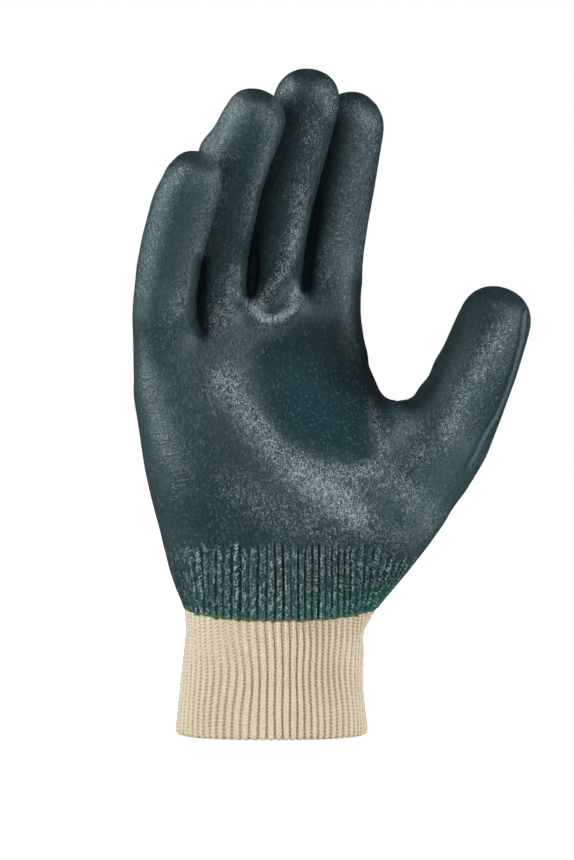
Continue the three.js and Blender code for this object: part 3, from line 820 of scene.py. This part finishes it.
class KnitWrist:
    """The folded rib-knit cuff: a grid wrapped round the wrist's outline, with a stitch at each step."""

    def __init__(self, settings, outline):
        self.settings = settings
        self.outline = outline

    def profile(self):
        """Rows of the closed section, from the sleeve's top down and round the hem: part, share, inset, relief."""
        rows = [("sleeve", t, SLEEVE_INSET, 0) for t in (0, 0.5, 1)]
        visible = int((DIP_HEIGHT - 3 * MM) / BARE_STEP)
        rows += [("bare", t, KNIT_IN_COAT, 1) for t in np.linspace(0, 1, visible)]
        rows += [("hem", t, 0, 1) for t in np.linspace(0, math.pi, HEM_STEPS)[1:-1]]
        rows += [("inside", t, KNIT_IN_COAT + KNIT_WALL, 0.6) for t in np.linspace(0, 1, INSIDE_ROWS)]
        return rows

    def build(self):
        mesh = wrapped_grid("knit_wrist", self.places(), closed=True)
        shade_smooth(mesh)
        self.paint(mesh)
        return new_object("rib_knit_wrist", mesh)

    def places(self):
        rows = self.profile()
        columns = self.settings.ribs * COLUMNS_PER_RIB
        table = np.zeros((len(rows), columns, 3))
        ribs = (np.arange(columns) + 0.5) / COLUMNS_PER_RIB
        low = HEM_TOP
        radius = KNIT_WALL / 2
        for i, (part, t, inset, relief) in enumerate(rows):
            guess = {"sleeve": 62 * MM, "bare": DIP_HEIGHT + (low - DIP_HEIGHT) * t, "hem": low,
                     "inside": low + (SLEEVE_TOP - low) * t}[part]
            angle = self.outline.angle_of_columns(columns, min(guess, 60 * MM))
            dip = self.outline.dip_line(columns, angle) + 1.0 * MM
            if part == "sleeve":
                z = SLEEVE_TOP + (dip + 1.5 * MM - SLEEVE_TOP) * t
            elif part == "bare":
                z = dip + (low - dip) * t
                inset = inset + 2.0 * MM * smoothstep(-1.4 * MM, -0.2 * MM, z - dip)
            elif part == "hem":
                scallop = 0.4 * MM * rib_valley(ribs) * math.sin(t)
                z = low - math.sin(t) * radius + scallop
                inset = KNIT_IN_COAT + radius * (1 - math.cos(t))
            else:
                z = low + (SLEEVE_TOP - low) * t * np.ones(columns)
            table[i] = self.stitched(z, angle, ribs, inset, relief, part)
        return table

    def stitched(self, z, angle, ribs, inset, relief, part):
        """Points on the cuff with the relief of the ribs and their stitches."""
        across = 1 - np.abs(ribs - np.floor(ribs) - 0.5) * 2
        rows = stitch_rows(z, ribs, self.settings)
        valley = rib_valley(ribs)
        leg = 0.5 + 0.5 * np.cos(2 * math.pi * (rows - 1.1 * across))
        purl = 0.5 + 0.5 * np.cos(2 * math.pi * (rows + 0.3))
        groove = np.exp(-(across / 0.14) ** 2)
        height = -self.settings.rib_depth * (0.25 * across ** 2 + 0.85 * valley)
        height += 0.07 * MM * np.sin(2 * math.pi * (rows * 0.37 + np.rint(ribs) * 21 / self.settings.ribs))
        if part in ("bare", "hem"):
            height += 0.2 * MM * (leg - 1) * (1 - valley) - 0.12 * MM * groove
            height += 0.14 * MM * purl * valley
        points = self.outline.point(z, angle, inset)
        outwards = np.stack([np.sin(angle), -np.cos(angle), np.zeros(len(angle))], axis=1)
        side = -1 if part == "inside" else 1
        return points + outwards * (height * relief * side)[:, None]

    def paint(self, mesh):
        points = coordinates(mesh)
        rib = self.outline.rib_number(points[:, 2], self.outline.angle_of(points))
        put_attributes(mesh, **stitch_values(points[:, 2], rib, self.settings))


class Tree:
    """A node tree with short calls for adding nodes and links."""

    def __init__(self, tree):
        self.tree = tree
        tree.nodes.clear()

    def add(self, kind, inputs=None, **values):
        node = self.tree.nodes.new(kind)
        for name, value in values.items():
            setattr(node, name, value)
        for name, value in (inputs or {}).items():
            if isinstance(value, bpy.types.NodeSocket):
                self.tree.links.new(value, node.inputs[name])
            else:
                node.inputs[name].default_value = value
        return node

    def math(self, operation, *values):
        node = self.tree.nodes.new("ShaderNodeMath")
        node.operation = operation
        for i, value in enumerate(values):
            if isinstance(value, bpy.types.NodeSocket):
                self.tree.links.new(value, node.inputs[i])
            else:
                node.inputs[i].default_value = value
        return node.outputs[0]

    def noise(self, vector, scale, detail=2.0, roughness=0.5, distortion=0.0):
        node = self.add("ShaderNodeTexNoise", {
            "Vector": vector, "Scale": scale, "Detail": detail, "Roughness": roughness, "Distortion": distortion,
        })
        return node.outputs["Fac"]

    def ramp(self, value, low, high, start=0.0, end=1.0):
        node = self.add("ShaderNodeMapRange", {
            "Value": value, "From Min": low, "From Max": high, "To Min": start, "To Max": end,
        }, interpolation_type="SMOOTHSTEP")
        return node.outputs["Result"]

    def mixed(self, share, first, second):
        node = self.tree.nodes.new("ShaderNodeMix")
        node.data_type = "RGBA"
        for socket, value in zip((node.inputs[0], node.inputs[6], node.inputs[7]), (share, first, second)):
            if isinstance(value, bpy.types.NodeSocket):
                self.tree.links.new(value, socket)
            else:
                socket.default_value = value
        return node.outputs[2]

    def times(self, first, second):
        return self.math("MULTIPLY", first, second)

    def plus(self, first, second):
        return self.math("ADD", first, second)

    def minus(self, first, second):
        return self.math("SUBTRACT", first, second)

    def wave(self, turns):
        """0 to 1 and back, once for each whole number."""
        return self.plus(0.5, self.times(self.math("COSINE", self.times(turns, 2 * math.pi)), 0.5))

    def attributes(self, *names):
        return [self.add("ShaderNodeAttribute", attribute_name=name).outputs["Fac"] for name in names]

    def group(self, name, make, inputs):
        """A node group, made where it is first needed."""
        tree = bpy.data.node_groups.get(name) or make()
        return self.add("ShaderNodeGroup", inputs, node_tree=tree).outputs

    def stretched(self, vector, scale):
        return self.add("ShaderNodeMapping", {"Vector": vector, "Scale": scale}).outputs["Vector"]


def new_group(name, inputs, outputs):
    """A node group: gives its tree and the sockets of what comes in. An input without a value is a vector."""
    tree = bpy.data.node_groups.new(name, "ShaderNodeTree")
    for label, value in inputs.items():
        kind = "NodeSocketVector" if value is None else "NodeSocketFloat"
        made = tree.interface.new_socket(name=label, in_out="INPUT", socket_type=kind)
        if value is not None:
            made.default_value = value
    for label in outputs:
        tree.interface.new_socket(name=label, in_out="OUTPUT", socket_type="NodeSocketFloat")
    t = Tree(tree)
    return tree, t, t.add("NodeGroupInput").outputs


def sandy_grain_group():
    """Fine grit in the coating: a height for the bump, and short dashes where grains catch the light."""
    inputs = {"Vector": None, "Grain Size": 0.001, "Amount": 0.5}
    tree, t, given = new_group("sandy_grain", inputs, ("Height", "Dashes"))
    scale = t.math("DIVIDE", 1.0, given["Grain Size"])
    tall = t.stretched(given["Vector"], (1.0, 1.0, 0.62))
    coarse = t.noise(tall, scale, 2.0, 0.6, 1.6)
    fine = t.noise(given["Vector"], t.times(scale, 1.9), 1.0, 0.5, 0.6)
    height = t.plus(t.times(coarse, 0.7), t.times(fine, 0.3))
    slow = t.noise(given["Vector"], t.times(scale, 0.12), 2.0, 0.6)
    least = t.minus(0.65, t.times(given["Amount"], 0.12))
    least = t.plus(least, t.times(t.minus(slow, 0.5), 0.14))
    above = t.minus(coarse, least)
    dashes = t.times(t.ramp(above, 0.0, 0.07), t.ramp(fine, 0.35, 0.65, 0.2, 1.0))
    t.add("NodeGroupOutput", {"Height": height, "Dashes": dashes})
    return tree


def rib_stitch_group():
    """Knitting on ribs: chevrons on each crest and small bars in each trough, row by row."""
    inputs = {"Vector": None, "Rib Cos": 1.0, "Rib Sin": 0.0, "Rows": 0.0}
    tree, t, given = new_group("rib_stitch", inputs, ("Height", "Trough"))
    turn = t.math("ARCTAN2", given["Rib Sin"], given["Rib Cos"])
    away = t.math("DIVIDE", t.math("ABSOLUTE", turn), math.pi)
    wander = t.noise(given["Vector"], 420.0, 2.0, 0.6)
    rows = t.plus(given["Rows"], t.times(wander, 0.7))
    leg = t.wave(t.minus(rows, t.times(away, 1.1)))
    bar = t.wave(t.plus(rows, 0.3))
    trough = t.ramp(away, 0.42, 0.74)
    groove = t.ramp(away, 0.0, 0.18, 1.0, 0.0)
    crest = t.minus(t.times(leg, 0.8), t.times(groove, 0.3))
    crest = t.times(crest, t.minus(1.0, trough))
    height = t.plus(crest, t.times(t.times(bar, trough), 0.5))
    t.add("NodeGroupOutput", {"Height": height, "Trough": trough})
    return tree


def cotton_fibre_group():
    """Cotton yarn: fine fibres for the bump, and slow and quick changes of shade."""
    tree, t, given = new_group("cotton_fibre", {"Vector": None, "Fibre Size": 0.00025}, ("Height", "Shade"))
    scale = t.math("DIVIDE", 1.0, given["Fibre Size"])
    stretched = t.stretched(given["Vector"], (1.0, 1.0, 0.45))
    height = t.noise(stretched, scale, 3.0, 0.7, 1.2)
    slow = t.noise(given["Vector"], 160.0, 2.0, 0.5)
    quick = t.noise(given["Vector"], 900.0, 2.0, 0.6)
    shade = t.plus(t.times(slow, 0.5), t.times(quick, 0.5))
    t.add("NodeGroupOutput", {"Height": height, "Shade": shade})
    return tree


def new_material(name):
    material = bpy.data.materials.new(name)
    material.use_nodes = True
    return material, Tree(material.node_tree)


def stitches(t, place):
    rib_cos, rib_sin, rows = t.attributes("rib_cos", "rib_sin", "stitch_rows")
    return t.group("rib_stitch", rib_stitch_group, {
        "Vector": place, "Rib Cos": rib_cos, "Rib Sin": rib_sin, "Rows": rows,
    })


def coat_material(settings):
    material, t = new_material("sandy_pvc")
    place = t.add("ShaderNodeTexCoord").outputs["Object"]
    ribbed, near_edge, hollow, bare, sandy, sheen = t.attributes(
        "ribbed", "near_edge", "hollow", "bare", "sandy", "sheen")
    rim, wrinkled, dim, creased, off_seam = t.attributes("rim", "wrinkled", "dim", "creased", "off_seam")
    cloud = t.noise(place, 70.0, 4.0, 0.6)
    ragged = t.times(t.minus(t.noise(place, 950.0, 2.0, 0.6), 0.5), 2.6)
    # In the palm's hollow: fewer painted glints and a weaker grit bump
    smooth_hollow = t.ramp(t.plus(bare, ragged), 0.35, 0.65)
    amount = t.plus(t.times(sandy, 1.5), t.times(cloud, 0.5))
    amount = t.minus(amount, t.times(smooth_hollow, 1.6))
    grit = t.group("sandy_grain", sandy_grain_group, {
        "Vector": place, "Grain Size": settings.grain_size, "Amount": amount,
    })
    rope = stitches(t, place)
    color = t.mixed(t.ramp(cloud, 0.3, 0.7), settings.coat_color, settings.coat_shade)
    greener = t.times(ribbed, t.ramp(near_edge, 0.0, 1.0, 0.2, 1.0))
    color = t.mixed(greener, color, settings.band_color)
    valley = t.times(ribbed, rope["Trough"])
    # Along the thumb's seam: a painted highlight on its ridge, and a painted shade along the strip just beside it
    lit_seam = t.ramp(t.math("ABSOLUTE", off_seam), 0.3, 1.0, 1.0, 0.0)
    under_seam = t.ramp(t.math("ABSOLUTE", t.plus(off_seam, 1.6)), 0.1, 1.1, 1.0, 0.0)
    # Painted shade: the dim marks, the strip beside the thumb's seam, the band's rib valleys and the creases
    # between fingers darken the coat in place of shade
    shade = t.math("MAXIMUM", t.times(dim, 0.85), t.times(under_seam, 0.5))
    shade = t.math("MAXIMUM", shade, t.times(valley, 0.7))
    painted_shade = t.math("MAXIMUM", shade, creased)
    # Painted sheen over the sheen marks
    color = t.mixed(t.times(sheen, 0.45), color, settings.sheen_color)
    color = t.mixed(t.times(lit_seam, 0.4), color, settings.sheen_color)
    color = t.mixed(t.times(painted_shade, 0.92), color, settings.painted_shade_color)
    # Painted glints: pale dashes on the grit, faint specks all over and glints on the band's rope, mixed into the
    # coat's colour in place of highlights
    painted_glints = t.times(grit["Dashes"], t.plus(0.12, t.times(sandy, 0.6)))
    fleck = t.noise(t.stretched(place, (1.0, 1.0, 0.5)), 1000.0, 2.0, 0.6)
    rope_height = t.times(rope["Height"], 0.5)
    speck = t.times(t.ramp(fleck, 0.54, 0.68), 0.07)
    painted_glints = t.math("MAXIMUM", painted_glints, speck)
    glint = t.ramp(t.plus(rope_height, t.times(fleck, 2.4)), 1.38, 1.75)
    painted_glints = t.plus(painted_glints, t.times(t.times(glint, ribbed), 0.42))
    painted_glints = t.times(painted_glints, t.minus(1.0, painted_shade))
    color = t.mixed(painted_glints, color, settings.grit_glint_color)
    color = t.mixed(t.times(rim, 0.6), color, settings.rim_color)
    dull = t.math("MAXIMUM", painted_shade, hollow)
    rough = t.plus(t.ramp(grit["Height"], 0.35, 0.65, 0.2, 0.34), t.times(dull, 0.3))
    strength = t.plus(0.45, t.times(sandy, 0.55))
    strength = t.minus(strength, t.times(smooth_hollow, 0.2))
    height = t.times(grit["Height"], strength)
    ropes = t.times(t.times(rope["Height"], ribbed), 0.3)
    flat = t.stretched(place, (0.3, 0.3, 1.0))
    wrinkle = t.times(t.noise(flat, 420.0, 2.0, 0.6, 0.5), t.times(wrinkled, 0.7))
    height = t.plus(t.plus(height, ropes), wrinkle)
    height = t.plus(height, t.times(lit_seam, 0.8))
    bump = t.add("ShaderNodeBump", {"Height": height, "Strength": 1.0, "Distance": settings.grain_depth})
    shine = t.times(t.minus(1.0, t.times(dull, 0.92)), 0.38)
    shine = t.plus(shine, t.times(painted_glints, 0.3))
    shader = t.add("ShaderNodeBsdfPrincipled", {
        "Base Color": color, "Roughness": rough, "Normal": bump.outputs["Normal"], "IOR": 1.52,
        "Specular IOR Level": shine, "Specular Tint": (0.82, 0.95, 1, 1),
    })
    t.add("ShaderNodeOutputMaterial", {"Surface": shader.outputs["BSDF"]})
    return material


def yarn_material(name, settings, knitted):
    material, t = new_material(name)
    place = t.add("ShaderNodeTexCoord").outputs["Object"]
    yarn = t.group("cotton_fibre", cotton_fibre_group, {"Vector": place, "Fibre Size": settings.fibre_size})
    share = t.times(t.minus(yarn["Shade"], 0.5), 0.7)
    height = t.times(yarn["Height"], 0.35)
    if knitted:
        stitch = stitches(t, place)
        # Painted shade: the yarn is darkened in the troughs between ribs and in the gaps between the stitch legs
        trough_shade = t.times(stitch["Trough"], 0.5)
        weight = t.plus(0.22, t.times(stitch["Trough"], 0.18))
        gap_shade = t.times(t.ramp(stitch["Height"], 0.0, 0.42, 1.0, 0.0), weight)
        share = t.plus(share, t.plus(trough_shade, gap_shade))
        height = t.plus(height, stitch["Height"])
    color = t.mixed(t.ramp(share, 0.0, 1.0), settings.yarn_color, settings.dark_yarn_and_shade_color)
    bump = t.add("ShaderNodeBump", {"Height": height, "Strength": 1.0, "Distance": 0.0004})
    shader = t.add("ShaderNodeBsdfPrincipled", {
        "Base Color": color, "Roughness": 0.92, "Normal": bump.outputs["Normal"], "Sheen Weight": 0.2,
        "Sheen Roughness": 0.5, "IOR": 1.45,
    })
    t.add("ShaderNodeOutputMaterial", {"Surface": shader.outputs["BSDF"]})
    return material


def length(name, description, default, low, high):
    return bpy.props.FloatProperty(
        name=name, description=description, default=default, min=low, max=high, precision=5, unit="LENGTH")


def color(name, description, *rgb):
    return bpy.props.FloatVectorProperty(
        name=name, description=description, subtype="COLOR", size=4, min=0, max=1, default=(*rgb, 1))


class GLOVE_settings(bpy.types.PropertyGroup):
    wall: length("Wall", "Lining and coating together", 0.002, 0.001, 0.004)
    ribs: bpy.props.IntProperty(name="Ribs", description="Ribs round the wrist", default=64, min=40, max=90)
    rib_depth: length("Rib depth", "From a rib's crest to its trough", 0.001, 0, 0.002)
    stitch: length("Stitch height", "One row of the knit", 0.00143, 0.0008, 0.003)
    grain_size: length("Grain size", "Width of the coating's grit", 0.0008, 0.0002, 0.003)
    grain_depth: length("Grain depth", "Height of the coating's grit", 0.0006, 0, 0.002)
    fibre_size: length("Fibre size", "Width of the cotton's fibres", 0.0003, 0.0001, 0.001)
    coat_color: color("Coat", "Colour of the coating", 0.0112, 0.033, 0.0385)
    coat_shade: color("Coat shade", "Darker clouds in the coating", 0.009, 0.026, 0.031)
    band_color: color("Ribbed coat", "Colour of the coating on the ribs", 0.003, 0.092, 0.07)
    # Painted highlight: colour of the glints painted on the grit
    grit_glint_color: color("Grit", "Colour of the proud grains", 0.48, 0.56, 0.6)
    # Painted shade: colour that the creases, rib valleys and shaded places are darkened towards
    painted_shade_color: color("Shade", "Colour of the coating in creases and between fingers", 0.008, 0.0135, 0.0148)
    # Painted highlight: colour of the painted sheen and of the highlight along the thumb's seam
    sheen_color: color("Haze", "Colour of grit too fine to see singly", 0.1, 0.16, 0.175)
    rim_color: color("Rim", "Colour of the thin coating along the dip line", 0.09, 0.14, 0.035)
    yarn_color: color("Yarn", "Colour of the knit's crests", 0.65, 0.57, 0.435)
    # Darker yarn tone for random variation, and the colour of the knit's painted shade in troughs and gaps
    dark_yarn_and_shade_color: color("Troughs", "Colour of the yarn between the ribs", 0.4, 0.28, 0.16)
    light_power: bpy.props.FloatProperty(
        name="Light", description="Power of each soft box", default=17, min=0, max=500, unit="POWER")


class GLOVE_OT_coated_hand(bpy.types.Operator):
    """Builds the coated skin of the hand, with the ribbed band at the wrist"""

    bl_idname = "glove.coated_hand"
    bl_label = "Coated hand"

    def execute(self, context):
        settings = context.scene.glove
        outline = WristOutline(settings.ribs)
        piece = HandSkin(settings, outline).build()
        piece.data.materials.append(coat_material(settings))
        piece.data.materials.append(yarn_material("cotton_lining", settings, knitted=False))
        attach(piece, "root")
        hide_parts(*HAND_NODES)
        return {"FINISHED"}


class GLOVE_OT_knit_wrist(bpy.types.Operator):
    """Builds the folded rib-knit wrist, stitch by stitch"""

    bl_idname = "glove.knit_wrist"
    bl_label = "Knit wrist"

    def execute(self, context):
        settings = context.scene.glove
        outline = WristOutline(settings.ribs)
        piece = KnitWrist(settings, outline).build()
        piece.data.materials.append(yarn_material("cotton_rib_knit", settings, knitted=True))
        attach(piece, "root")
        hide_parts("knit_wrist")
        return {"FINISHED"}


class GLOVE_OT_stage(bpy.types.Operator):
    """Sets the pale floor, the soft boxes and the camera"""

    bl_idname = "glove.stage"
    bl_label = "Studio"

    def execute(self, context):
        settings = context.scene.glove
        self.floor()
        self.soft_box("soft_box_left", (-1.05, -0.62, 0.4), settings.light_power, (0.28, 1.0))
        self.soft_box("soft_box_right", (1.15, -0.5, 0.35), settings.light_power, (0.28, 1.0))
        self.soft_box("soft_box_front", (0.12, -1.0, 0.85), settings.light_power * 0.1, (0.4, 0.25))
        self.world(context.scene)
        self.camera(context.scene)
        context.scene.view_settings.view_transform = "Standard"
        return {"FINISHED"}

    def floor(self):
        bm = bmesh.new()
        bmesh.ops.create_circle(bm, cap_ends=True, segments=96, radius=6)
        bmesh.ops.translate(bm, verts=bm.verts, vec=(0, 0, -0.6 * MM))
        piece = new_object("floor", mesh_from(bm, "floor"))
        piece.data.materials.append(self.floor_material())
        piece.visible_glossy = False

    @staticmethod
    def floor_material():
        """Pale paper, lifted towards the white of the background where it is seen."""
        material, t = new_material("pale_floor")
        seen = t.add("ShaderNodeLightPath").outputs["Is Camera Ray"]
        shader = t.add("ShaderNodeBsdfPrincipled", {
            "Base Color": (0.9, 0.9, 0.9, 1), "Roughness": 0.95, "Emission Color": (1, 1, 1, 1),
            "Emission Strength": t.times(seen, 0.95),
        })
        t.add("ShaderNodeOutputMaterial", {"Surface": shader.outputs["BSDF"]})
        return material

    @staticmethod
    def soft_box(name, place, power, size):
        lamp = bpy.data.lights.new(name, "AREA")
        lamp.shape = "RECTANGLE"
        lamp.size, lamp.size_y = size
        lamp.energy = power
        piece = bpy.data.objects.new(name, lamp)
        bpy.context.scene.collection.objects.link(piece)
        piece.location = place
        aim = Vector((0.01, 0, 0.13)) - Vector(place)
        piece.rotation_euler = aim.to_track_quat("-Z", "Y").to_euler()

    @staticmethod
    def world(scene):
        scene.world = bpy.data.worlds.new("studio")
        scene.world.use_nodes = True
        t = Tree(scene.world.node_tree)
        path = t.add("ShaderNodeLightPath")
        strength = t.minus(0.3, t.times(path.outputs["Is Glossy Ray"], 0.24))
        strength = t.math("MAXIMUM", strength, path.outputs["Is Camera Ray"])
        light = t.add("ShaderNodeBackground", {"Color": (1, 1, 1, 1), "Strength": strength})
        t.add("ShaderNodeOutputWorld", {"Surface": light.outputs["Background"]})

    @staticmethod
    def camera(scene):
        lens = bpy.data.cameras.new("camera")
        lens.lens = LENS
        lens.sensor_width = SENSOR
        lens.sensor_fit = "AUTO"
        lens.clip_start, lens.clip_end = 0.05, 50
        piece = bpy.data.objects.new("camera", lens)
        scene.collection.objects.link(piece)
        piece.location = (UPRIGHT_X, CAMERA_Y, CAMERA_HEIGHT)
        piece.rotation_euler = (math.pi / 2, 0, 0)
        scene.camera = piece


class GLOVE_PT_panel(bpy.types.Panel):
    bl_idname = "GLOVE_PT_panel"
    bl_label = "Coated work glove"
    bl_space_type = "VIEW_3D"
    bl_region_type = "UI"
    bl_category = "Glove"

    def draw(self, context):
        layout = self.layout
        for name in GLOVE_settings.__annotations__:
            layout.prop(context.scene.glove, name)
        for operator in OPERATORS:
            layout.operator(operator.bl_idname)


OPERATORS = (GLOVE_OT_stage, GLOVE_OT_coated_hand, GLOVE_OT_knit_wrist)
CLASSES = (GLOVE_settings, *OPERATORS, GLOVE_PT_panel)


def register():
    for cls in CLASSES:
        bpy.utils.register_class(cls)
    bpy.types.Scene.glove = bpy.props.PointerProperty(type=GLOVE_settings)


def unregister():
    del bpy.types.Scene.glove
    for cls in reversed(CLASSES):
        bpy.utils.unregister_class(cls)


def main():
    register()
    bpy.ops.glove.stage()
    bpy.ops.glove.coated_hand()
    bpy.ops.glove.knit_wrist()


if __name__ == "__main__":
    main()
